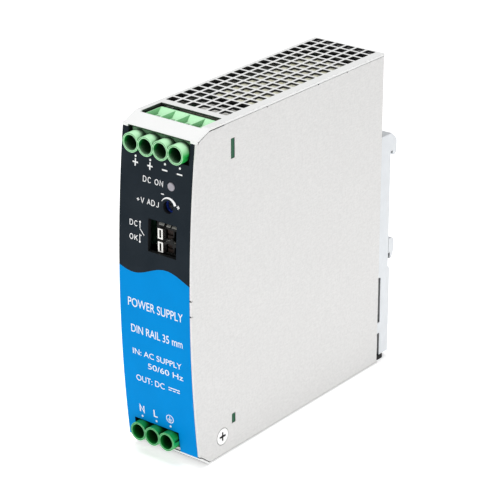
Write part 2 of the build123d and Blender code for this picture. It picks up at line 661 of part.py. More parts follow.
def make_input_stage():
    """Fuse, inrush limiter, filter parts and rectifier at the lower, mains end."""
    with BuildPart() as fuse:
        add_rod_z(-6.6, 30.5, (12.0, 32.0), 2.6)
        for z in (12.0, 27.0):
            add_rod_z(-6.6, 30.5, (z, z + 5.0), 2.9)
    finish(fuse, "fuse")

    with BuildPart() as thermistor:
        add_rod_y(-2.0, 17.0, (38.0, 42.0), 6.0)
        for z in (14.5, 19.5):
            add_rod_x(40.0, z, (COMPONENT_X, -6.0), 0.4)
    finish(thermistor, "inrush_thermistor")

    with BuildPart() as x_capacitor:
        add_box((COMPONENT_X, 4.0), (28.0, 46.0), (36.0, 50.0))
        fillet(x_capacitor.edges().filter_by(Axis.X), 1.0)
    finish(x_capacitor, "x_capacitor")

    with BuildPart() as y_capacitors:
        for depth in (80.0, 90.0):
            add_rod_y(-4.6, 14.0, (depth, depth + 3.5), 4.6)
    finish(y_capacitors, "y_capacitors")

    choke = (60.0, 19.0)
    with BuildPart() as choke_core:
        add_ring(*choke, (7.0, 11.0), (-7.0, 3.0))
    finish(choke_core, "choke_core")

    with BuildPart() as choke_winding:
        add_ring(*choke, (5.6, 12.6), (-8.6, 4.6))
        add_ring(*choke, (6.95, 11.05), (-7.05, 3.05), mode=Mode.SUBTRACT)
        add_box((-12, 8), (choke[0] - 2.5, choke[0] + 2.5), (choke[1] - 20, choke[1] + 20), mode=Mode.SUBTRACT)
    finish(choke_winding, "choke_winding")

    with BuildPart() as rectifier:
        add_box((-7.0, 8.0), (61.0, 65.0), (36.0, 58.0))
        chamfer(rectifier.edges().filter_by(Axis.Y).group_by(Axis.X)[-1].sort_by(Axis.Z)[-1:], 2.5)
        for z in (38.5, 44.0, 50.0, 55.5):
            add_rod_x(63.0, z, (COMPONENT_X, -6.5), 0.5)
    finish(rectifier, "bridge_rectifier")


def make_power_stage():
    """Storage capacitor, chokes, switches and transformer."""
    with BuildPart() as bulk_capacitor:
        add_rod_y(1.5, 73.0, (60.0, 105.0), 10.5)
        fillet(bulk_capacitor.edges().filter_by(GeomType.CIRCLE), 1.2)
        # groove that crimps the can onto its rubber seal
        with BuildSketch(facing_front(62.5)):
            with Locations((1.5, 73.0)):
                Circle(11.5)
                Circle(9.9, mode=Mode.SUBTRACT)
        extrude(amount=-1.0, mode=Mode.SUBTRACT)
    finish(bulk_capacitor, "bulk_capacitor")

    with BuildPart() as pfc_choke:
        add_ring(84.0, 46.0, (5.0, 13.0), (-9.0, 5.0))
        fillet(pfc_choke.edges().filter_by(GeomType.CIRCLE), 2.5)
    finish(pfc_choke, "pfc_choke")

    with BuildPart() as heatsink:
        add_box((-9.5, 13.0), (56.5, 58.5), (36.0, 84.0))
        for x in (-2.0, 3.0, 8.0, 13.0):
            add_box((x - 1.2, x), (58.5, 59.6), (63.0, 84.0))
    finish(heatsink, "heatsink")

    with BuildPart() as transistors:
        for z in (38.0, 53.0, 68.0):
            add_box((-5.0, 4.0), (52.0, 56.5), (z, z + 10.0))
            add_box((4.0, 10.5), (55.2, 56.5), (z, z + 10.0))
            for leg in (-2.5, 0.0, 2.5):
                add_box((COMPONENT_X, -5.0), (53.4, 54.0), (z + 5.0 + leg - 0.4, z + 5.0 + leg + 0.4))
    finish(transistors, "transistors")

    legs_x = ((-8.5, -5.6), (10.6, 13.5))
    with BuildPart() as transformer_core:
        for depth in ((45.0, 52.0), (86.0, 93.0)):
            add_box((-8.5, 13.5), depth, (91.0, 118.5))
        chamfer(transformer_core.edges().filter_by(Axis.Y), 1.5)
        add_rod_y(2.5, 104.7, (51.0, 87.0), 6.3)
        for leg in legs_x:
            add_box(leg, (51.0, 87.0), (96.0, 113.5))
    finish(transformer_core, "transformer_core")

    with BuildPart() as transformer_winding:
        add_box((-9.0, 14.0), (52.1, 85.9), (88.8, 120.6))
        fillet(transformer_winding.edges().filter_by(Axis.Y), 4.0)
        add_rod_y(2.5, 104.7, (50.0, 88.0), 6.4, mode=Mode.SUBTRACT)
        left_leg, right_leg = legs_x
        for x in ((left_leg[0] - CUT, left_leg[1] + 0.1), (right_leg[0] - 0.1, right_leg[1] + CUT)):
            add_box(x, (50.0, 88.0), (95.9, 113.6), mode=Mode.SUBTRACT)
    finish(transformer_winding, "transformer_winding")


def make_output_stage():
    """Smoothing parts at the upper, low-voltage end, and the relay that reports a good output."""
    with BuildPart() as output_capacitors:
        for depth, z in ((37.2, 116.0), (37.2, 107.0), (28.5, 110.0)):
            add_rod_x(depth, z, (COMPONENT_X, 9.0), 4.0)
        fillet(output_capacitors.edges().filter_by(GeomType.CIRCLE).group_by(Axis.X)[-1], 0.5)
    finish(output_capacitors, "output_capacitors")

    with BuildPart() as output_inductor:
        add_ring(100.6, 100.0, (2.6, 6.6), (-9.0, 0.0))
        fillet(output_inductor.edges().filter_by(GeomType.CIRCLE), 1.4)
    finish(output_inductor, "output_inductor")

    with BuildPart() as ok_relay:
        add_box((COMPONENT_X, 2.0), (27.0, 40.0), (74.0, 86.0))
        chamfer(ok_relay.edges().group_by(Axis.X)[-1], 0.5)
    finish(ok_relay, "ok_relay")

    with BuildPart() as optocouplers:
        for z in (66.0, 78.0):
            add_box((COMPONENT_X, -6.5), (45.5, 50.0), (z, z + 6.4))
    finish(optocouplers, "optocouplers")


# ================================================================== rail bracket

CHEEK_OUTLINE = [
    (110.05, BRACKET_TOP),
    (117.8, BRACKET_TOP),
    (120.3, 88.95),
    (121.3, 87.6),
    (121.3, 83.0),
    (120.5, 81.9),
    (119.6, 81.9),
    (119.1, 82.6),
    (119.1, RAIL_TOP_Z),
    (RAIL_FACE, RAIL_TOP_Z),
    (RAIL_FACE, 37.6),
    (BRACKET_LEG, 36.6),
    (BRACKET_LEG, BRACKET_BOTTOM),
    (BRACKET_RELIEF, BRACKET_BOTTOM),
    (BRACKET_RELIEF, 11.4),
    (110.05, 11.4),
    (110.05, 15.9),
    (BRACKET_RELIEF, 15.9),
    (BRACKET_RELIEF, 34.3),
    (110.05, 35.0),
]

TOOTH_BACK = [
    (119.7, RAIL_BOTTOM_Z),
    (120.8, RAIL_BOTTOM_Z - 0.6),
    (121.2, RAIL_BOTTOM_Z - 2.2),
    (121.2, RAIL_BOTTOM_Z - 4.4),
    (120.5, RAIL_BOTTOM_Z - 7.2),
    (119.4, RAIL_BOTTOM_Z - 8.5),
]


def make_rail_bracket():
    """Channel that opens towards the case, with a fixed hook above and a slot for the latch below."""
    wide = (-BRACKET_HALF_WIDTH, BRACKET_HALF_WIDTH)
    inner = (-BRACKET_HALF_WIDTH + BRACKET_SHEET, BRACKET_HALF_WIDTH - BRACKET_SHEET)
    with BuildPart() as bracket:
        for start in (wide[0], inner[1]):
            add_profile(CHEEK_OUTLINE, (start, start + BRACKET_SHEET))
        # rail plate, its set-back lower leg, and the folded top
        add_box(inner, (RAIL_FACE - BRACKET_SHEET, RAIL_FACE), (36.6, BRACKET_TOP - BRACKET_SHEET))
        add_box(inner, (BRACKET_LEG - BRACKET_SHEET, BRACKET_LEG), (BRACKET_BOTTOM, 36.6))
        add_profile([(110.05, 89.8), (110.05, 91.0), (117.8, 91.0), (117.4, 89.8)], inner)
        add_profile([(117.4, 89.8), (117.8, 91.0), (120.3, 88.95), (119.5, 88.1)], inner)
        # inner web that is screwed to the rear of the case
        add_box(inner, (110.05, 111.25), (70.5, 90.0))
        # slot that the latch tooth passes through
        add_box((-12.4, 12.4), (112.5, 125.0), (RAIL_BOTTOM_Z - 13.3, RAIL_BOTTOM_Z + 0.3), mode=Mode.SUBTRACT)
        for x, z in BRACKET_SCREWS:
            add_rod_y(x, z, (112.0, 120.0), 3.4, mode=Mode.SUBTRACT)
            add_rod_y(x, z, (109.0, 112.5), 1.6, mode=Mode.SUBTRACT)
        # eye for the latch spring
        add_box((-1.0, 1.0), (111.25, 114.6), (SPRING_Z[1] + 1.5, SPRING_Z[1] + 2.7))
    finish(bracket, "rail_bracket")

    with BuildPart() as bracket_screws:
        for x, z in BRACKET_SCREWS:
            add_rod_y(x, z, (107.0, 112.0), 1.5)
            add_rod_y(x, z, (111.3, 113.2), 2.8)
            add_box((x - 1.7, x + 1.7), (112.3, 114.0), (z - 0.4, z + 0.4), mode=Mode.SUBTRACT)
            add_box((x - 0.4, x + 0.4), (112.3, 114.0), (z - 1.7, z + 1.7), mode=Mode.SUBTRACT)
    finish(bracket_screws, "bracket_screws")


def make_latch():
    """Sprung slider that grips the lower edge of the rail and is pulled down to let it go."""
    foot = [(118.9, RAIL_BOTTOM_Z - 8.0), (117.0, RAIL_BOTTOM_Z - 8.0), (112.6, RAIL_BOTTOM_Z - 8.0), (112.6, RAIL_BOTTOM_Z)]
    # the wings pass behind the cheeks of the bracket
    wing = [(118.9, RAIL_BOTTOM_Z - 8.5), (118.9, 42.8), (117.8, 42.8), (117.8, RAIL_BOTTOM_Z)]
    with BuildPart() as latch:
        add_box((-12.0, 12.0), (112.4, 113.6), (8.0, SPRING_Z[0] - 2.0))
        add_profile(TOOTH_BACK + foot, (-12.0, 12.0))
        add_profile(TOOTH_BACK + wing, (-BRACKET_HALF_WIDTH, BRACKET_HALF_WIDTH))
        add_profile(
            [(113.7, 38.5), (116.0, 38.5), (119.5, 42.4), (119.5, 46.0), (118.5, 47.2), (113.7, 47.2)],
            (-10.6, 10.6),
            mode=Mode.SUBTRACT,
        )
        add_box((-1.5, 1.5), (113.2, 114.4), (SPRING_Z[0] - 4.0, SPRING_Z[0] - 1.5))
        for z in (14.0, 30.0):
            add_rod_y(0.0, z, (111.0, 115.0), 2.1, mode=Mode.SUBTRACT)
    finish(latch, "rail_latch")

    with BuildPart() as slide:
        add_box((-13.1, 13.1), (110.3, 111.4), (1.0, 35.0))
        for start in (-13.1, 12.15):
            add_box((start, start + 0.95), (110.3, 115.9), (1.0, 35.0))
        add_box((-14.4, 14.4), (110.3, 115.5), (0.0, 1.9))
        for z in (14.0, 30.0):
            add_rod_y(0.0, z, (111.0, 112.4), 3.2)
            add_rod_y(0.0, z, (112.0, 114.0), 2.0)
            add_rod_y(0.0, z, (113.65, 114.4), 3.0)
    finish(slide, "latch_slide")


def make_latch_spring():
    """Tension spring between the bracket's eye and the top of the latch."""
    radius, wire, coils = 1.8, 0.3, 11
    bottom, top = SPRING_Z
    with BuildPart() as spring:
        with BuildLine() as path:
            Helix(
                pitch=(top - bottom) / coils,
                height=top - bottom,
                radius=radius,
                center=(0, behind(SPRING_DEPTH), bottom),
            )
        with BuildSketch(Plane(origin=path.line @ 0, z_dir=path.line % 0)):
            Circle(wire)
        sweep(is_frenet=True)
    finish(spring, "latch_spring")


os.makedirs("parts", exist_ok=True)
make_cover()
make_chassis()
make_front_panel()
make_front_label()
make_case_screws()
make_terminals()
make_relay_terminal()
make_lamp()
make_adjuster()
make_boards()
make_input_stage()
make_power_stage()
make_output_stage()
make_rail_bracket()
make_latch()
make_latch_spring()
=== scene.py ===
import json
import math

import bmesh
import bpy
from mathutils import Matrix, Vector


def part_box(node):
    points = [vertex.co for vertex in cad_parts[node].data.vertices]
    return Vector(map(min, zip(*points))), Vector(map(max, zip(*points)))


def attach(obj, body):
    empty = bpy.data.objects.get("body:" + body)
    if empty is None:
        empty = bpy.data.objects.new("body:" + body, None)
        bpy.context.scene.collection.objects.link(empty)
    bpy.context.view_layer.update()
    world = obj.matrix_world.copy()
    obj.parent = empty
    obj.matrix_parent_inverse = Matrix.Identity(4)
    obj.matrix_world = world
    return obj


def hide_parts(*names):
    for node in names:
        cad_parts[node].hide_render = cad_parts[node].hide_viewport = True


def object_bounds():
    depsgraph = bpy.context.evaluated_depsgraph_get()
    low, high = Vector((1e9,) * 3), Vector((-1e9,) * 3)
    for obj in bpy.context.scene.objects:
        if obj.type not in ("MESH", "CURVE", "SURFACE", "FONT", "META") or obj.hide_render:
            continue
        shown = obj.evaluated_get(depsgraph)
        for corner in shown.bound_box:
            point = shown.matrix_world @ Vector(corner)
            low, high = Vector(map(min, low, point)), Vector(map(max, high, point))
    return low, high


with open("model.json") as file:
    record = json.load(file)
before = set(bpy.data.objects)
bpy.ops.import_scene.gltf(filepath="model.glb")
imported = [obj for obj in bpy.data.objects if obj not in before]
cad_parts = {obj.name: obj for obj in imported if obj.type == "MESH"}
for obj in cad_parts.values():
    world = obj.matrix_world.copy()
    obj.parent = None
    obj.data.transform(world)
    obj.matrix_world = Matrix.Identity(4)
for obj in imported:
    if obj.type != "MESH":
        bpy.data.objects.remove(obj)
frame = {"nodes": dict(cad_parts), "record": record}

CAD_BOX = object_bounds()
MM = 0.001
FRONT_Y = CAD_BOX[0].y

# The bowed front, in millimetres: its radius, the height of its foremost point, and how far
# the ink, the blue field, the film and the film's back lie inside it.
FRONT_RADIUS = 476.0
FRONT_APEX_Z = 62.2
INK_INSET = 0.01
BLUE_INSET = 0.025
FILM_INSET = 0.045
FILM_BACK = 0.19
BOW_STEP = 2.0

# In metres: how far the outer finish of the sheets goes in at their edges, and where the painted
# shade on the inner faces of the cover and of the side starts behind the front.
SKIN = 0.00008
ROOF_SHADE_START = 0.0103
SIDE_SHADE_START = 0.006

# Openings in the film, the cap over the transformer and the wave on the film, in millimetres.
OUTPUT_CUTOUT = (13.35, 112.5)
INPUT_CUTOUT = (-12.7, 7.3, 12.1)
RELAY_OPENING = ((-3.2, 9.2), (78.7, 90.5))
ADJUST_HOLE_RADIUS = 2.2
CAP_X, CAP_DEPTH, CAP_Z = (-9.4, 14.3), (43.0, 96.0), (118.4, 121.2)
CAP_BEND, CAP_THICK = 1.2, 0.4
LAMP_HOLE_RADIUS = 1.55
WAVE_MIDDLE, WAVE_SWING, WAVE_LENGTH, WAVE_START = 71.5, 2.1, 30.0, -2.5
WAVE_STEPS = 60

# Points closer than this are one point, in the units of a flat shape.
MERGE = 1e-5

CAMERA_PLACE = (0.44174, -0.57058, 0.36990)
CAMERA_FORWARD = (-0.56779, 0.72215, -0.39512)
CAMERA_LENS = 157.66

# Each soft box: its place in metres, its size and its power.
LIGHT_AIM = (0, 0, 0.06)
LIGHTS = {
    "overhead": ((-0.12, 0.10, 1.05), 0.9, 8.2),
    "right": ((1.15, -0.05, 0.3), 0.7, 3.7),
    "front": ((-0.12, -1.2, 0.45), 0.6, 5.3),
}


def centre(node):
    """Middle of a CAD node's box, in metres."""
    low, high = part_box(node)
    return (low + high) / 2


def front_arc(z, inset=0.0):
    """Depth of the bowed front at a height, or of a surface this far inside it, in millimetres."""
    return FRONT_RADIUS - math.sqrt((FRONT_RADIUS - inset) ** 2 - (z - FRONT_APEX_Z) ** 2)


# ------------------------------------------------------------------ materials

BEVEL_SAMPLES = 6
HOLLOW_SAMPLES = 8


class Finish:
    """A Principled material, and short calls that add the nodes that give it detail."""

    def __init__(self, name, color, rough, **sockets):
        self.material = bpy.data.materials.new(name)
        self.material.use_nodes = True
        self.tree = self.material.node_tree
        self.bsdf = self.tree.nodes["Principled BSDF"]
        self.set("Base Color", (*color, 1))
        self.set("Roughness", rough)
        for socket, value in sockets.items():
            self.set(socket.replace("_", " "), value)
        self.place = self.node("ShaderNodeTexCoord").outputs["Object"]
        self.normal = None

    def set(self, socket, value):
        self.bsdf.inputs[socket].default_value = value

    def node(self, kind, **values):
        node = self.tree.nodes.new(kind)
        for key, value in values.items():
            setattr(node, key, value)
        return node

    def link(self, start, end):
        self.tree.links.new(start, end)

    def stretched(self, scale):
        """Object coordinates, scaled along each axis."""
        mapping = self.node("ShaderNodeMapping")
        mapping.inputs["Scale"].default_value = scale
        self.link(self.place, mapping.inputs["Vector"])
        return mapping.outputs["Vector"]

    def noise(self, size, detail=3.0, stretch=(1, 1, 1)):
        """Noise whose features are about this many millimetres across."""
        node = self.node("ShaderNodeTexNoise")
        node.inputs["Scale"].default_value = 1 / (size * MM)
        node.inputs["Detail"].default_value = detail
        self.link(self.stretched(stretch), node.inputs["Vector"])
        return node.outputs["Fac"]

    def bands(self, size, axis, distortion=0.0):
        """Stripes this many millimetres apart."""
        node = self.node("ShaderNodeTexWave", bands_direction=axis)
        node.inputs["Scale"].default_value = STRIPE_SCALE / (size * MM)
        node.inputs["Distortion"].default_value = distortion
        self.link(self.place, node.inputs["Vector"])
        return node.outputs["Fac"]

    def speckle(self, size):
        """Random cells this many millimetres across."""
        node = self.node("ShaderNodeTexVoronoi")
        node.inputs["Scale"].default_value = 1 / (size * MM)
        self.link(self.place, node.inputs["Vector"])
        return node.outputs["Distance"]

    def spread(self, value, low, high, out_low=0.0, out_high=1.0):
        """The value with low..high turned into out_low..out_high."""
        node = self.node("ShaderNodeMapRange")
        ends = {"From Min": low, "From Max": high, "To Min": out_low, "To Max": out_high}
        for socket, end in ends.items():
            node.inputs[socket].default_value = end
        self.link(value, node.inputs["Value"])
        return node.outputs["Result"]

    def edges(self, radius):
        """A mask that is 1 at sharp edges, for painted edge highlights, for wear on metal and for
        the pale glass fibre at board edges.
        """
        bevel = self.node("ShaderNodeBevel", samples=BEVEL_SAMPLES)
        bevel.inputs["Radius"].default_value = radius * MM
        geometry = self.node("ShaderNodeNewGeometry")
        dot = self.node("ShaderNodeVectorMath", operation="DOT_PRODUCT")
        self.link(bevel.outputs["Normal"], dot.inputs[0])
        self.link(geometry.outputs["Normal"], dot.inputs[1])
        return self.spread(dot.outputs["Value"], 0.97, 0.75)

    def hollows(self, reach, low, high):
        """A mask that is 1 deep in bores and gaps up to this many millimetres across, from ambient
        occlusion; the looks use it to paint shade there.
        """
        shade = self.node("ShaderNodeAmbientOcclusion", samples=HOLLOW_SAMPLES)
        shade.inputs["Distance"].default_value = reach * MM
        return self.spread(shade.outputs["AO"], high, low)

    def facing(self, direction, low=0.1, high=0.95):
        """A mask that is 1 on faces that look in a direction."""
        dot = self.node("ShaderNodeVectorMath", operation="DOT_PRODUCT")
        self.link(self.node("ShaderNodeNewGeometry").outputs["Normal"], dot.inputs[0])
        dot.inputs[1].default_value = Vector(direction).normalized()
        return self.spread(dot.outputs["Value"], low, high)

    def within(self, low, high):
        """A mask that is 1 inside a box given by two corners, in metres."""
        parts = self.node("ShaderNodeSeparateXYZ")
        self.link(self.place, parts.inputs[0])
        inside = None
        for axis, start, end in zip("XYZ", low, high):
            near = self.node("ShaderNodeMath", operation="COMPARE")
            self.link(parts.outputs[axis], near.inputs[0])
            near.inputs[1].default_value = (start + end) / 2
            near.inputs[2].default_value = (end - start) / 2
            if inside is None:
                inside = near.outputs[0]
                continue
            both = self.node("ShaderNodeMath", operation="MULTIPLY")
            self.link(inside, both.inputs[0])
            self.link(near.outputs[0], both.inputs[1])
            inside = both.outputs[0]
        return inside

    def soften(self, radius):
        """Rounds the shading at sharp edges."""
        bevel = self.node("ShaderNodeBevel", samples=BEVEL_SAMPLES)
        bevel.inputs["Radius"].default_value = radius * MM
        self.normal = bevel.outputs["Normal"]
        self.link(self.normal, self.bsdf.inputs["Normal"])

    def tint(self, mask, color, amount=1.0):
        """Mixes in another colour where the mask is 1."""
        mix = self.node("ShaderNodeMix", data_type="RGBA")
        previous = self.bsdf.inputs["Base Color"]
        if previous.is_linked:
            self.link(previous.links[0].from_socket, mix.inputs["A"])
        else:
            mix.inputs["A"].default_value = previous.default_value
        mix.inputs["B"].default_value = (*color, 1)
        if amount != 1.0:
            mask = self.spread(mask, 0, 1, 0, amount)
        self.link(mask, mix.inputs["Factor"])
        self.link(mix.outputs["Result"], previous)

    def shine(self, value, low, high):
        """Roughness that runs from low to high with the value."""
        self.link(self.spread(value, 0.25, 0.75, low, high), self.bsdf.inputs["Roughness"])

    def bump(self, height, depth):
        """Relief this many millimetres deep."""
        node = self.node("ShaderNodeBump")
        node.inputs["Distance"].default_value = depth * MM
        node.inputs["Strength"].default_value = 1.0
        self.link(height, node.inputs["Height"])
        if self.normal is not None:
            self.link(self.normal, node.inputs["Normal"])
        self.normal = node.outputs["Normal"]
        self.link(self.normal, self.bsdf.inputs["Normal"])


ALONG_X, ALONG_Y, ALONG_Z = (0.06, 1, 1), (1, 0.06, 1), (1, 1, 0.06)

# Scale of the wave texture that gives one stripe in each unit of length.
STRIPE_SCALE = 0.314


def scaled(color, factor):
    """A lighter or darker colour."""
    return tuple(min(1.0, part * factor) for part in color)


def plastic(name, color, rough=0.45, grain=0.35, relief=0.01, soft=0.15, pale=1.25):
    """Moulded plastic: slightly uneven colour, fine texture and paler edges, a painted edge
    highlight.
    """
    finish = Finish(name, color, rough)
    finish.soften(soft)
    finish.tint(finish.spread(finish.noise(6.0), 0.35, 0.7), scaled(color, 0.85))
    # painted highlight: sharp edges are made paler by the factor pale
    finish.tint(finish.edges(soft * 1.4), scaled(color, pale), 0.7)
    grains = finish.noise(grain, 2.0)
    finish.shine(grains, rough - 0.06, rough + 0.08)
    finish.bump(grains, relief)
    return finish


def metal(name, color, rough, stretch=(1, 1, 1)):
    """Plated or rolled metal with a drawn grain, light mottling and bright edges, partly wear and
    partly a painted highlight.
    """
    soft, edge_wear_and_highlight = 0.12, 1.1
    finish = Finish(name, color, rough, Metallic=1.0)
    finish.soften(soft)
    lines = finish.noise(0.4, 4.0, stretch)
    finish.tint(finish.spread(finish.noise(5.0), 0.3, 0.7), scaled(color, 0.9))
    finish.tint(finish.spread(lines, 0.35, 0.65), scaled(color, 0.93))
    # brighter sharp edges: partly wear, partly a painted edge highlight
    finish.tint(finish.edges(soft * 1.4), scaled(color, edge_wear_and_highlight), 0.8)
    finish.shine(lines, rough - 0.07, rough + 0.09)
    finish.bump(lines, 0.004)
    return finish


def cover_look():
    """White painted sheet steel, with a painted highlight on its edges and painted shade on its
    inner faces and in its holes.
    """
    color = (0.88, 0.885, 0.88)
    finish = Finish("cover_steel", color, 0.42)
    finish.soften(0.12)
    finish.tint(finish.spread(finish.noise(9.0), 0.3, 0.7), scaled(color, 0.965))
    peel = finish.noise(0.5, 2.0)
    finish.tint(finish.spread(peel, 0.4, 0.7), scaled(color, 0.97))
    # painted highlight: sharp edges are made lighter
    finish.tint(finish.edges(0.16), (0.95, 0.95, 0.95), 0.8)
    low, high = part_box("cover")
    shaded_inside_low = (low.x + SKIN, FRONT_Y + ROOF_SHADE_START, SKIN)
    shaded_inside_high = (high.x - SKIN, high.y + SKIN, high.z - SKIN)
    # painted shade: the inner faces of the cover are made nearly black
    finish.tint(finish.within(shaded_inside_low, shaded_inside_high), (0.02, 0.02, 0.021))
    # painted shade: hole walls and other hollows are made dark
    finish.tint(finish.hollows(8.0, 0.2, 0.4), (0.03, 0.03, 0.03))
    finish.shine(peel, 0.36, 0.5)
    finish.bump(peel, 0.006)
    return finish


def side_look():
    """Satin aluminium sheet with a fine mottled grain that runs from front to back, a painted
    highlight on its edges and painted shade on its inner faces.
    """
    color = (0.725, 0.720, 0.712)
    finish = Finish("side_aluminium", color, 0.45, Metallic=0.25)
    finish.soften(0.1)
    cloud = finish.noise(14.0, 2.0)
    mottle = finish.noise(0.9, 4.0)
    streak = finish.noise(0.25, 3.0, (1, 0.08, 1))
    finish.tint(finish.spread(cloud, 0.35, 0.7), scaled(color, 0.975))
    finish.tint(finish.spread(mottle, 0.38, 0.66), scaled(color, 0.93))
    finish.tint(finish.spread(streak, 0.5, 0.75), scaled(color, 1.06))
    # painted highlight: sharp edges are made lighter
    finish.tint(finish.edges(0.14), (0.93, 0.93, 0.92), 0.9)
    low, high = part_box("chassis")
    shaded_inside_low = (low.x - SKIN, low.y + SIDE_SHADE_START, low.z + SKIN)
    shaded_inside_high = (high.x - SKIN, high.y - SKIN, high.z - SKIN)
    # painted shade: the inner faces of the side are made nearly black
    finish.tint(finish.within(shaded_inside_low, shaded_inside_high), (0.03, 0.03, 0.03))
    finish.shine(mottle, 0.38, 0.52)
    finish.bump(mottle, 0.008)
    finish.bump(streak, 0.004)
    return finish


def screw_look():
    """Bright zinc, with painted shade that makes the cross recess dark."""
    finish = metal("screw_steel", (0.95, 0.95, 0.94), 0.4, ALONG_X)
    # painted shade: the cross recess and other hollows are made nearly black
    finish.tint(finish.hollows(1.6, 0.35, 0.75), (0.02, 0.02, 0.02))
    return finish


def relay_look(name, color, top):
    """Dark moulding deep in an opening, with painted light on faces that look up and painted shade
    in its hollows.
    """
    finish = plastic(name, color, 0.5, soft=0.1)
    # painted highlight: faces that look up take the colour top
    finish.tint(finish.facing((0, 0, 1)), top)
    # painted shade: hollows are made black
    finish.tint(finish.hollows(5.0, 0.25, 0.6), (0.001, 0.001, 0.001))
    finish.set("Specular IOR Level", 0.2)
    return finish


def green_look(name, painted_sheen, direction):
    """Moulded green nylon with a painted pale sheen on faces that look in a direction, painted
    shade in its bores and gaps, and paler painted edge highlights.
    """
    # painted highlight: pale=1.7 makes the sharp edges much paler
    finish = plastic(name, GREEN, 0.4, pale=1.7, soft=0.2)
    # painted sheen: faces that look in the direction take the pale colour
    finish.tint(finish.facing(direction, 0.28, 0.72), painted_sheen)
    # painted shade: bores and gaps are made a near-black green
    finish.tint(finish.hollows(7.0, 0.3, 0.62), (0.0005, 0.035, 0.006))
    finish.set("Specular IOR Level", 0.5)
    finish.set("Coat Weight", 0.12)
    finish.set("Coat Roughness", 0.35)
    return finish


def bracket_look():
    """Zinc plated steel, pale and faintly blue, with soft clouds from the plating bath, a painted
    highlight on its edges and painted shade in its hollows.
    """
    color = (0.74, 0.765, 0.79)
    finish = Finish("galvanised_steel", color, 0.4, Metallic=0.35)
    finish.soften(0.15)
    finish.tint(finish.spread(finish.noise(5.0), 0.3, 0.7), scaled(color, 0.93))
    grain = finish.noise(0.8, 4.0, (1, 1, 0.4))
    finish.tint(finish.spread(grain, 0.4, 0.66), scaled(color, 0.95))
    # painted highlight: sharp edges are made lighter
    finish.tint(finish.edges(0.2), (0.93, 0.95, 0.97), 0.8)
    # painted shade: hollows are made nearly black
    finish.tint(finish.hollows(4.0, 0.15, 0.5), (0.003, 0.003, 0.003))
    finish.shine(grain, 0.34, 0.48)
    finish.bump(grain, 0.006)
    return finish


def board_look():
    """Green solder mask with tracks under it, pale glass fibre at the cut edges, and painted shade
    in its hollows.
    """
    color = (0.012, 0.07, 0.038)
    finish = Finish("circuit_board", color, 0.5, Specular_IOR_Level=0.2)
    tracks = finish.node("ShaderNodeTexBrick", offset=0.37)
    tracks.inputs["Scale"].default_value = 120.0
    tracks.inputs["Mortar Size"].default_value = 0.03
    finish.link(finish.stretched((1, 0.35, 0.9)), tracks.inputs["Vector"])
    finish.tint(finish.spread(tracks.outputs["Fac"], 0, 1, 1, 0), (0.02, 0.11, 0.055))
    finish.tint(finish.spread(finish.speckle(2.6), 0.16, 0.12), (0.75, 0.74, 0.7))
    finish.tint(finish.edges(0.12), (0.02, 0.08, 0.06), 0.6)
    # painted shade: hollows are made nearly black
    finish.tint(finish.hollows(9.0, 0.3, 0.7), (0.001, 0.004, 0.002))
    finish.bump(tracks.outputs["Fac"], 0.03)
    return finish


def winding_look():
    """Cream polyester tape wrapped round a coil."""
    finish = Finish("winding_tape", (0.97, 0.96, 0.76), 0.35, Coat_Weight=0.3)
    finish.soften(0.2)
    wraps = finish.bands(6.5, "Y")
    finish.tint(finish.spread(wraps, 0.0, 0.08, 1, 0), (0.80, 0.76, 0.50))
    finish.tint(finish.spread(finish.noise(3.0), 0.4, 0.7), (0.98, 0.97, 0.82))
    finish.bump(finish.spread(wraps, 0.0, 0.1), 0.1)
    finish.bump(finish.noise(1.5), 0.05)
    return finish


def copper_look():
    """Close turns of enamelled copper wire."""
    finish = Finish("copper_winding", (0.62, 0.22, 0.07), 0.25, Metallic=0.85, Coat_Weight=0.6)
    turns = finish.bands(1.1, "Z", 0.4)
    finish.tint(finish.spread(turns, 0.0, 0.3, 1, 0), (0.12, 0.03, 0.01))
    finish.tint(finish.spread(finish.noise(4.0), 0.4, 0.7), (0.7, 0.3, 0.1))
    finish.bump(turns, 0.35)
    return finish


def ferrite_look():
    """Dark sintered ferrite, rough and slightly chipped."""
    finish = Finish("ferrite", (0.045, 0.045, 0.05), 0.6)
    finish.soften(0.3)
    finish.tint(finish.spread(finish.speckle(0.5), 0.1, 0.4, 1, 0), (0.1, 0.1, 0.105), 0.5)
    finish.bump(finish.noise(0.4), 0.04)
    return finish


def sleeve_look(name, color, stripe):
    """Shrink sleeve on a can, with a printed stripe along it."""
    finish = Finish(name, color, 0.28, Coat_Weight=0.5)
    finish.soften(0.3)
    finish.tint(finish.spread(finish.bands(21.0, "Z"), 0.88, 0.9), stripe, 0.8)
    finish.tint(finish.spread(finish.noise(5.0), 0.4, 0.7), scaled(color, 0.85), 0.6)
    finish.bump(finish.noise(2.5), 0.06)
    return finish


def spring_look():
    """Drawn wire."""
    return metal("spring_steel", (0.5, 0.5, 0.52), 0.28, (1, 1, 4))


def film_look(name, color, pale):
    """Matt screen-printed polyester film."""
    finish = Finish(name, color, 0.5, Specular_IOR_Level=0.02)
    finish.tint(finish.spread(finish.noise(12.0), 0.35, 0.7), pale, 0.5)
    tooth = finish.noise(0.18, 2.0)
    finish.tint(finish.spread(tooth, 0.45, 0.75), pale, 0.6)
    finish.shine(tooth, 0.44, 0.58)
    finish.bump(tooth, 0.006)
    return finish


def ink_look():
    """White screen-printing ink, a little thin in places."""
    finish = Finish("white_ink", (0.87, 0.87, 0.87), 0.5)
    finish.tint(finish.spread(finish.noise(0.25, 2.0), 0.5, 0.8), (0.6, 0.64, 0.68), 0.6)
    finish.bump(finish.noise(0.15, 2.0), 0.004)
    return finish


def lamp_look():
    """Frosted light pipe, unlit."""
    finish = Finish("light_pipe", (0.42, 0.40, 0.44), 0.35, Transmission_Weight=0.15)
    finish.tint(finish.spread(finish.noise(1.6), 0.35, 0.7), (0.30, 0.28, 0.32))
    finish.bump(finish.noise(0.3), 0.02)
    return finish


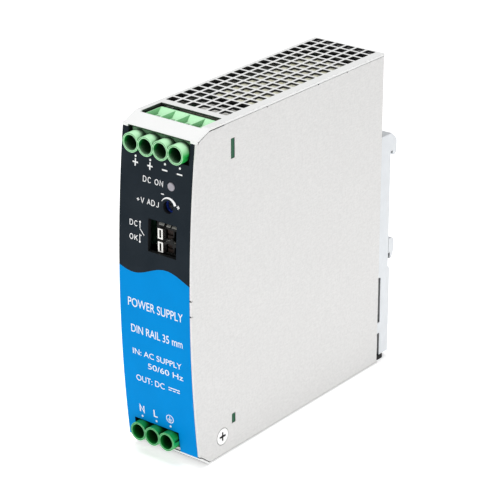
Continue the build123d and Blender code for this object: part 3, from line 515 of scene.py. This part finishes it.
GREEN = (0.012, 0.48, 0.07)
LOOKS = {
    "cover_steel": cover_look(),
    "side_aluminium": side_look(),
    "panel_plastic": plastic("panel_plastic", (0.008, 0.009, 0.010), 0.5),
    "label_film": film_look("charcoal_film", (0.013, 0.019, 0.025), (0.024, 0.031, 0.039)),
    "screw_steel": screw_look(),
    # painted sheen: the pale green goes on faces that look up and forward
    "terminal_green": green_look("terminal_green", (0.56, 0.98, 0.60), (0.25, -0.6, 0.75)),
    "tinned_metal": metal("tinned_metal", (0.78, 0.77, 0.74), 0.3, ALONG_Y),
    "clamp_screw_steel": metal("clamp_screw_steel", (0.62, 0.62, 0.6), 0.3),
    "clamp_steel": metal("clamp_steel", (0.5, 0.5, 0.49), 0.38, ALONG_Y),
    # painted highlight: the last colour of each relay look is painted on faces that look up
    "relay_terminal_black": relay_look(
        "relay_terminal_black", (0.004, 0.004, 0.004), (0.55, 0.56, 0.52)
    ),
    "release_brown": relay_look("release_brown", (0.016, 0.007, 0.004), (0.05, 0.025, 0.018)),
    "light_pipe": lamp_look(),
    "led_white": plastic("led_white", (0.75, 0.75, 0.68), 0.25),
    "trimmer_blue": plastic("trimmer_blue", (0.004, 0.03, 0.30), 0.35),
    "trimmer_rotor": plastic("trimmer_rotor", (0.03, 0.03, 0.035), 0.4),
    "circuit_board": board_look(),
    "header_black": plastic("header_black", (0.012, 0.012, 0.012), 0.5),
    "insulating_film": plastic("insulating_film", (0.62, 0.62, 0.55), 0.3, soft=0.05),
    "standoff_brass": metal("standoff_brass", (0.66, 0.62, 0.5), 0.3, ALONG_X),
    "fuse_ceramic": plastic("fuse_ceramic", (0.74, 0.71, 0.64), 0.3),
    "thermistor_green": plastic(
        "thermistor_green", (0.03, 0.09, 0.045), 0.45, relief=0.06, grain=0.9
    ),
    "capacitor_yellow": plastic("capacitor_yellow", (0.68, 0.42, 0.03), 0.3),
    "capacitor_blue": plastic("capacitor_blue", (0.015, 0.10, 0.34), 0.4, relief=0.06, grain=0.9),
    "ferrite": ferrite_look(),
    "copper_winding": copper_look(),
    "epoxy_black": plastic("epoxy_black", (0.014, 0.014, 0.015), 0.55),
    "sleeve_black": sleeve_look("sleeve_black", (0.012, 0.013, 0.018), (0.55, 0.55, 0.55)),
    "sleeve_grey": sleeve_look("sleeve_grey", (0.88, 0.88, 0.84), (0.03, 0.1, 0.25)),
    "heatsink_aluminium": metal("heatsink_aluminium", (0.6, 0.6, 0.61), 0.42, ALONG_Z),
    "winding_tape": winding_look(),
    "relay_white": plastic("relay_white", (0.72, 0.72, 0.69), 0.3),
    "galvanised_steel": bracket_look(),
    # painted shade in hollows and a faint painted highlight on faces that look up come with this
    # relay look
    "latch_black": relay_look("latch_black", (0.005, 0.005, 0.005), (0.01, 0.01, 0.01)),
    "spring_steel": spring_look(),
}
BLUE_FILM = film_look("blue_film", (0.0002, 0.235, 0.62), (0.0006, 0.27, 0.70))
WHITE_INK = ink_look()
# painted shade: a copy of the terminal green with a darker painted sheen on faces that look
# forward
SHADED_GREEN = green_look("shaded_green", (0.12, 0.56, 0.20), (0, -1, 0))


def paint(obj, finish):
    """Gives an object one material in its first slot."""
    if obj.material_slots:
        for slot in obj.material_slots:
            slot.material = finish.material
    else:
        obj.data.materials.append(finish.material)


for part in frame["record"]["subparts"]:
    paint(frame["nodes"][part["node"]], LOOKS[part["material_slot"]])
# painted shade: the lower terminal block gets the shaded copy of the green
paint(frame["nodes"]["input_terminal_housing"], SHADED_GREEN)


# ------------------------------------------------------------------ pieces


def add_piece(name, mesh, finish, body):
    """Puts a finished mesh in the scene as a named piece that rides on a body."""
    piece = bpy.data.objects.new(name, mesh)
    bpy.context.scene.collection.objects.link(piece)
    paint(piece, finish)
    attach(piece, body)
    return piece


def filled(outlines):
    """Flat bmesh of closed outlines, in millimetres; an outline inside another is a hole."""
    curve = bpy.data.curves.new("outline", "CURVE")
    curve.dimensions = "2D"
    curve.fill_mode = "BOTH"
    for points in outlines:
        spline = curve.splines.new("POLY")
        spline.points.add(len(points) - 1)
        for point, (x, z) in zip(spline.points, points):
            point.co = (x, z, 0, 1)
        spline.use_cyclic_u = True
    return flat_bmesh(curve)


def lettering(text):
    """Flat bmesh of a line of text in the built-in font."""
    curve = bpy.data.curves.new("text", "FONT")
    curve.body = text
    curve.resolution_u = 6
    curve.fill_mode = "BOTH"
    return flat_bmesh(curve)


def flat_bmesh(curve):
    """The filled faces of a curve or text, and nothing else left behind."""
    holder = bpy.data.objects.new("holder", curve)
    bpy.context.scene.collection.objects.link(holder)
    evaluated = holder.evaluated_get(bpy.context.evaluated_depsgraph_get())
    mesh = bpy.data.meshes.new_from_object(evaluated)
    bpy.data.objects.remove(holder)
    bpy.data.curves.remove(curve)
    shape = bmesh.new()
    shape.from_mesh(mesh)
    bpy.data.meshes.remove(mesh)
    bmesh.ops.remove_doubles(shape, verts=shape.verts, dist=MERGE)
    return shape


def fit(shape, x, z):
    """Stretches a flat shape to (low, high) spans."""
    xs = [vert.co.x for vert in shape.verts]
    zs = [vert.co.y for vert in shape.verts]
    for vert in shape.verts:
        vert.co.x = x[0] + (vert.co.x - min(xs)) / (max(xs) - min(xs)) * (x[1] - x[0])
        vert.co.y = z[0] + (vert.co.y - min(zs)) / (max(zs) - min(zs)) * (z[1] - z[0])
    return shape


def bowed_mesh(name, shapes, inset, back):
    """Lays flat shapes on the bowed front as thin closed solids between two insets."""
    joined = bmesh.new()
    for shape in shapes:
        loose = bpy.data.meshes.new("loose")
        shape.to_mesh(loose)
        joined.from_mesh(loose)
        bpy.data.meshes.remove(loose)
        shape.free()
    zs = [vert.co.y for vert in joined.verts]
    cut = math.floor(min(zs)) + BOW_STEP
    while cut < max(zs):
        everything = joined.verts[:] + joined.edges[:] + joined.faces[:]
        bmesh.ops.bisect_plane(
            joined, geom=everything, dist=MERGE, plane_co=(0, cut, 0), plane_no=(0, 1, 0)
        )
        cut += BOW_STEP
    outer = joined.faces[:]
    inner = bmesh.ops.duplicate(joined, geom=joined.verts[:] + joined.edges[:] + outer)
    pairs = inner["vert_map"]
    boundary = [
        edge for edge in joined.edges if len(edge.link_faces) == 1 and edge.verts[0] in pairs
    ]
    front = {vert for face in outer for vert in face.verts}
    for edge in boundary:
        first, second = edge.verts
        if first in front and second in front:
            joined.faces.new((first, second, pairs[second], pairs[first]))
    for vert in joined.verts:
        x, z = vert.co.x, vert.co.y
        depth = front_arc(z, inset if vert in front else back)
        vert.co = (x * MM, FRONT_Y + depth * MM, z * MM)
    bmesh.ops.recalc_face_normals(joined, faces=joined.faces)
    mesh = bpy.data.meshes.new(name)
    joined.to_mesh(mesh)
    joined.free()
    return mesh


def disc(x, z, radius, steps=40):
    """Outline of a circle."""
    turns = [2 * math.pi * step / steps for step in range(steps)]
    return [(x + radius * math.cos(turn), z + radius * math.sin(turn)) for turn in turns]


def bar(start, end, width):
    """Outline of a straight stroke."""
    (x0, z0), (x1, z1) = start, end
    length = math.hypot(x1 - x0, z1 - z0)
    across = ((z0 - z1) / length * width / 2, (x1 - x0) / length * width / 2)
    return [
        (x0 + across[0], z0 + across[1]),
        (x0 - across[0], z0 - across[1]),
        (x1 - across[0], z1 - across[1]),
        (x1 + across[0], z1 + across[1]),
    ]


def corner_offset(before, point, after, width):
    """How far a corner of a stroke is from its middle line, to its left."""
    first = Vector((point[0] - before[0], point[1] - before[1])).normalized()
    second = Vector((after[0] - point[0], after[1] - point[1])).normalized()
    side = Vector((-first.y - second.y, first.x + second.x)).normalized()
    return side * (width / 2) / max(0.5, side.dot(Vector((-first.y, first.x))))


def stroke(points, width, closed=False):
    """Flat shape of a line of even width through some points."""
    last = len(points) - 1
    left, right = [], []
    for index, point in enumerate(points):
        before, after = points[index - 1], points[(index + 1) % len(points)]
        if index == 0 and not closed:
            before = (2 * point[0] - after[0], 2 * point[1] - after[1])
        if index == last and not closed:
            after = (2 * point[0] - before[0], 2 * point[1] - before[1])
        shift = corner_offset(before, point, after, width)
        left.append((point[0] + shift.x, point[1] + shift.y))
        right.append((point[0] - shift.x, point[1] - shift.y))
    return filled([left, right] if closed else [left + right[::-1]])


def round_part(x, z, radii, turn, steps=14):
    """Points on part of an ellipse, between two angles in degrees."""
    start, end = turn
    angles = [math.radians(start + (end - start) * step / steps) for step in range(steps + 1)]
    return [(x + radii[0] * math.cos(angle), z + radii[1] * math.sin(angle)) for angle in angles]


# Drawn letters, one unit tall: the lines of each, and whether a line is closed.
STROKES = {
    "D": [([(0, 0), (0, 1), *round_part(0.3, 0.5, (0.4, 0.5), (90, -90))], True)],
    "C": [(round_part(0.37, 0.5, (0.37, 0.5), (42, 318)), False)],
    "O": [(round_part(0.39, 0.5, (0.39, 0.5), (0, 345), 23), True)],
    "N": [([(0, 0), (0, 1), (0.66, 0), (0.66, 1)], False)],
    "K": [
        ([(0, 0), (0, 1)], False),
        ([(0.64, 1), (0.03, 0.4)], False),
        ([(0.22, 0.58), (0.66, 0)], False),
    ],
    "V": [([(0, 1), (0.36, 0), (0.72, 1)], False)],
    "A": [([(0, 0), (0.36, 1), (0.72, 0)], False), ([(0.12, 0.32), (0.6, 0.32)], False)],
    "J": [([(0.5, 1), *round_part(0.26, 0.25, (0.24, 0.25), (0, -160))], False)],
    "L": [([(0, 1), (0, 0), (0.56, 0)], False)],
    "+": [([(0, 0.45), (0.6, 0.45)], False), ([(0.3, 0.15), (0.3, 0.75)], False)],
}
STROKE_ADVANCE = {
    "D": 1.12, "C": 1.12, "O": 1.2, "N": 1.06, "K": 1.0, "V": 1.0, "A": 1.04, "J": 0.85, "+": 0.98,
}
WORD_SPACE = 0.55


def drawn(text, x, z, width):
    """Drawn capitals of even stroke, from a left edge and between two heights."""
    tall = z[1] - z[0] - width
    shapes = []
    pen = x + width / 2
    for letter in text:
        for points, closed in STROKES.get(letter, ()):
            placed = [(pen + px * tall, z[0] + width / 2 + pz * tall) for px, pz in points]
            shapes.append(stroke(placed, width, closed))
        pen += STROKE_ADVANCE.get(letter, WORD_SPACE) * tall
    return shapes


def film_outline():
    """Edge of the printed film, with its notches for the two terminal blocks."""
    low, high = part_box("front_label")
    left, right, bottom, top = low.x / MM, high.x / MM, low.z / MM, high.z / MM
    out_x, out_z = OUTPUT_CUTOUT
    in_left, in_right, in_z = INPUT_CUTOUT
    notch = [(in_left, bottom), (in_left, in_z), (in_right, in_z), (in_right, bottom)]
    recess = [(out_x, top), (out_x, out_z), (-out_x, out_z), (-out_x, top)]
    return [(left, bottom), *notch, (right, bottom)], [(right, top), *recess, (left, top)]


def wave(x):
    """Height of the line between the blue and the charcoal at an x."""
    return WAVE_MIDDLE + WAVE_SWING * math.sin(2 * math.pi * (x - WAVE_START) / WAVE_LENGTH)


def make_film():
    """Charcoal film with its holes, and the blue field printed over its lower half."""
    lower, upper = film_outline()
    lamp, adjuster = centre("led_light_pipe") / MM, centre("trimmer_rotor") / MM
    (x0, x1), (z0, z1) = RELAY_OPENING
    holes = [
        disc(lamp.x, lamp.z, LAMP_HOLE_RADIUS),
        disc(adjuster.x, adjuster.z, ADJUST_HOLE_RADIUS),
        [(x0, z0), (x1, z0), (x1, z1), (x0, z1)],
    ]
    film = bowed_mesh("front_film", [filled([lower + upper, *holes])], FILM_INSET, FILM_BACK)
    piece = add_piece("front_film", film, LOOKS["label_film"], "case")
    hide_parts("front_label")
    left, right = lower[0][0], lower[-1][0]
    crest = [right + (left - right) * step / WAVE_STEPS for step in range(WAVE_STEPS + 1)]
    field = filled([lower + [(x, wave(x)) for x in crest]])
    blue = bowed_mesh("blue_field", [field], BLUE_INSET, FILM_INSET)
    add_piece("blue_field", blue, BLUE_FILM, "case")


def make_winding_cap():
    """Thin cream insulating cap folded over the transformer, under the roof."""
    (left, right), (low, high), bend, thick = CAP_X, CAP_Z, CAP_BEND, CAP_THICK
    outer, inner, steps = (bend, bend), (bend - thick, bend - thick), 8
    outline = [
        (left, low),
        *round_part(left + bend, high - bend, outer, (180, 90), steps),
        *round_part(right - bend, high - bend, outer, (90, 0), steps),
        (right, low),
        (right - thick, low),
        *round_part(right - bend, high - bend, inner, (0, 90), steps),
        *round_part(left + bend, high - bend, inner, (90, 180), steps),
        (left + thick, low),
    ]
    shape = filled([outline])
    flat = shape.faces[:]
    moved = bmesh.ops.extrude_face_region(shape, geom=flat)["geom"]
    far = {item for item in moved if isinstance(item, bmesh.types.BMVert)}
    for vert in shape.verts:
        depth = CAP_DEPTH[1] if vert in far else CAP_DEPTH[0]
        vert.co = (vert.co.x * MM, FRONT_Y + depth * MM, vert.co.y * MM)
    bmesh.ops.recalc_face_normals(shape, faces=shape.faces)
    mesh = bpy.data.meshes.new("winding_cap")
    shape.to_mesh(mesh)
    shape.free()
    add_piece("winding_cap", mesh, LOOKS["winding_tape"], "case")


def add_print(name, shapes):
    """A group of white printed marks."""
    mesh = bowed_mesh(name, shapes, INK_INSET, FILM_INSET)
    add_piece(name, mesh, WHITE_INK, "case")


def bars(*strokes):
    """Flat shapes of straight strokes, each with a start, an end and a width."""
    return [filled([bar(*item)]) for item in strokes]


def make_terminal_marks():
    """Polarity and mains marks by the terminals."""
    shapes = []
    dot, heavy = 0.42, 0.5
    out_x = [centre(f"output_screw_{number}").x / MM for number in range(1, 5)]
    for x, plus in zip(out_x, (True, True, False, False)):
        shapes.append(filled([disc(x, 110.8, dot)]))
        shapes += bars(((x - 1.15, 108.7), (x + 1.15, 108.7), heavy))
        if plus:
            shapes += bars(
                ((x, 108.95), (x, 110.0), heavy),
                ((x, 107.4), (x, 108.45), heavy),
            )
    in_x = [centre(f"input_screw_{number}").x / MM for number in range(1, 4)]
    for x in in_x:
        shapes.append(filled([disc(x, 13.6, dot)]))
    for x, letter in zip(in_x, "NL"):
        shapes += drawn(letter, x - 1.0, (15.1, 18.2), heavy)
    x = in_x[2]
    shapes.append(filled([disc(x, 16.6, 1.65), disc(x, 16.6, 1.4)]))
    shapes += bars(((x, 16.5), (x, 17.7), 0.24))
    for half, z in ((0.95, 16.4), (0.65, 15.95), (0.32, 15.5)):
        shapes += bars(((x - half, z), (x + half, z), 0.22))
    add_print("print_terminal_marks", shapes)


def turning_arc(middle, steps=24):
    """Flat shape of the adjuster's arc, which widens along its turn."""
    start, swing, outside, inside, widening = 150, 128, 3.35, 3.15, 0.45
    sweep = [math.radians(start - swing * step / steps) for step in range(steps + 1)]
    outer = [(outside + widening * step / steps, turn) for step, turn in enumerate(sweep)]
    inner = [(inside - widening * step / steps, turn) for step, turn in enumerate(sweep)]
    return filled([[
        (middle.x + radius * math.cos(turn), middle.z + radius * math.sin(turn))
        for radius, turn in outer + inner[::-1]
    ]])


def make_control_marks():
    """Words and symbols by the lamp, the adjuster and the contact terminal."""
    pen, heavy, thin = 0.27, 0.35, 0.28
    shapes = [
        *drawn("DC ON", -6.0, (102.8, 104.9), pen),
        *drawn("+V ADJ", -8.5, (95.2, 97.3), pen),
        *drawn("DC", -11.3, (86.3, 88.4), pen),
        *drawn("OK", -11.3, (81.2, 83.3), pen),
        turning_arc(centre("trimmer_rotor") / MM),
    ]
    x = -6.7
    shapes += bars(
        ((2.1, 100.4), (3.3, 100.4), heavy),
        ((9.0, 97.3), (10.2, 97.3), heavy),
        ((9.6, 97.5), (9.6, 97.95), heavy),
        ((9.6, 96.65), (9.6, 97.1), heavy),
        ((x, 88.1), (x, 86.0), thin),
        ((x, 85.9), (x + 1.9, 83.9), thin),
        ((x, 84.0), (x, 81.4), thin),
    )
    for z in (88.3, 81.2):
        shapes.append(filled([disc(x, z, 0.38, 16)]))
    shapes += bars(((x - 0.1, 83.6), (x + 0.75, 83.6), 0.26))
    add_print("print_control_marks", shapes)


def make_rating_lines():
    """Plain words that say what the unit is and which way round it is wired."""
    lines = [
        ("POWER SUPPLY", (-12.3, 12.0), (56.4, 59.6)),
        ("DIN RAIL 35 mm", (-11.3, 11.6), (46.6, 49.6)),
        ("IN: AC SUPPLY", (-11.1, 10.7), (38.2, 40.4)),
        ("50/60 Hz", (-4.5, 11.2), (34.0, 36.2)),
        ("OUT: DC", (-10.3, 2.5), (27.9, 30.2)),
    ]
    heavy = 0.35
    shapes = [fit(lettering(text), x, z) for text, x, z in lines]
    shapes += bars(((4.3, 29.5), (9.3, 29.5), heavy))
    for start in (4.3, 6.15, 8.0):
        shapes += bars(((start, 28.6), (start + 1.3, 28.6), heavy))
    add_print("print_rating_lines", shapes)


make_winding_cap()
make_film()
make_terminal_marks()
make_control_marks()
make_rating_lines()

# ------------------------------------------------------------------ floor, light and camera


def make_floor():
    """Plain pale floor."""
    half = 4.0
    mesh = bpy.data.meshes.new("floor")
    corners = [(-half, -half, 0), (half, -half, 0), (half, half, 0), (-half, half, 0)]
    mesh.from_pydata(corners, [], [(0, 1, 2, 3)])
    floor = bpy.data.objects.new("floor", mesh)
    bpy.context.scene.collection.objects.link(floor)
    finish = Finish("floor_paper", (0.95, 0.95, 0.95), 0.9, Specular_IOR_Level=0.1)
    finish.set("Emission Color", (1, 1, 1, 1))
    finish.set("Emission Strength", 0.5)
    finish.bump(finish.noise(1.0), 0.02)
    paint(floor, finish)


def add_light(name, place, size, power):
    """A square soft box."""
    light = bpy.data.lights.new(name, "AREA")
    light.shape = "SQUARE"
    light.size = size
    light.energy = power
    lamp = bpy.data.objects.new(name, light)
    lamp.location = place
    lamp.rotation_euler = (Vector(LIGHT_AIM) - Vector(place)).to_track_quat("-Z", "Y").to_euler()
    bpy.context.scene.collection.objects.link(lamp)


def make_studio():
    """White surroundings and the soft boxes."""
    world = bpy.data.worlds.new("studio")
    world.use_nodes = True
    world.node_tree.nodes["Background"].inputs["Color"].default_value = (1, 1, 1, 1)
    world.node_tree.nodes["Background"].inputs["Strength"].default_value = 0.2
    bpy.context.scene.world = world
    for name, (place, size, power) in LIGHTS.items():
        add_light(name, place, size, power)
    bpy.context.scene.view_settings.view_transform = "Standard"


def make_camera():
    """Camera above, in front and to the right."""
    camera = bpy.data.objects.new("camera", bpy.data.cameras.new("camera"))
    camera.data.sensor_width = 36.0
    camera.data.lens = CAMERA_LENS
    camera.data.clip_start = 0.05
    camera.data.clip_end = 20.0
    camera.location = CAMERA_PLACE
    camera.rotation_euler = Vector(CAMERA_FORWARD).to_track_quat("-Z", "Y").to_euler()
    bpy.context.scene.collection.objects.link(camera)
    bpy.context.scene.camera = camera


make_floor()
make_studio()
make_camera()
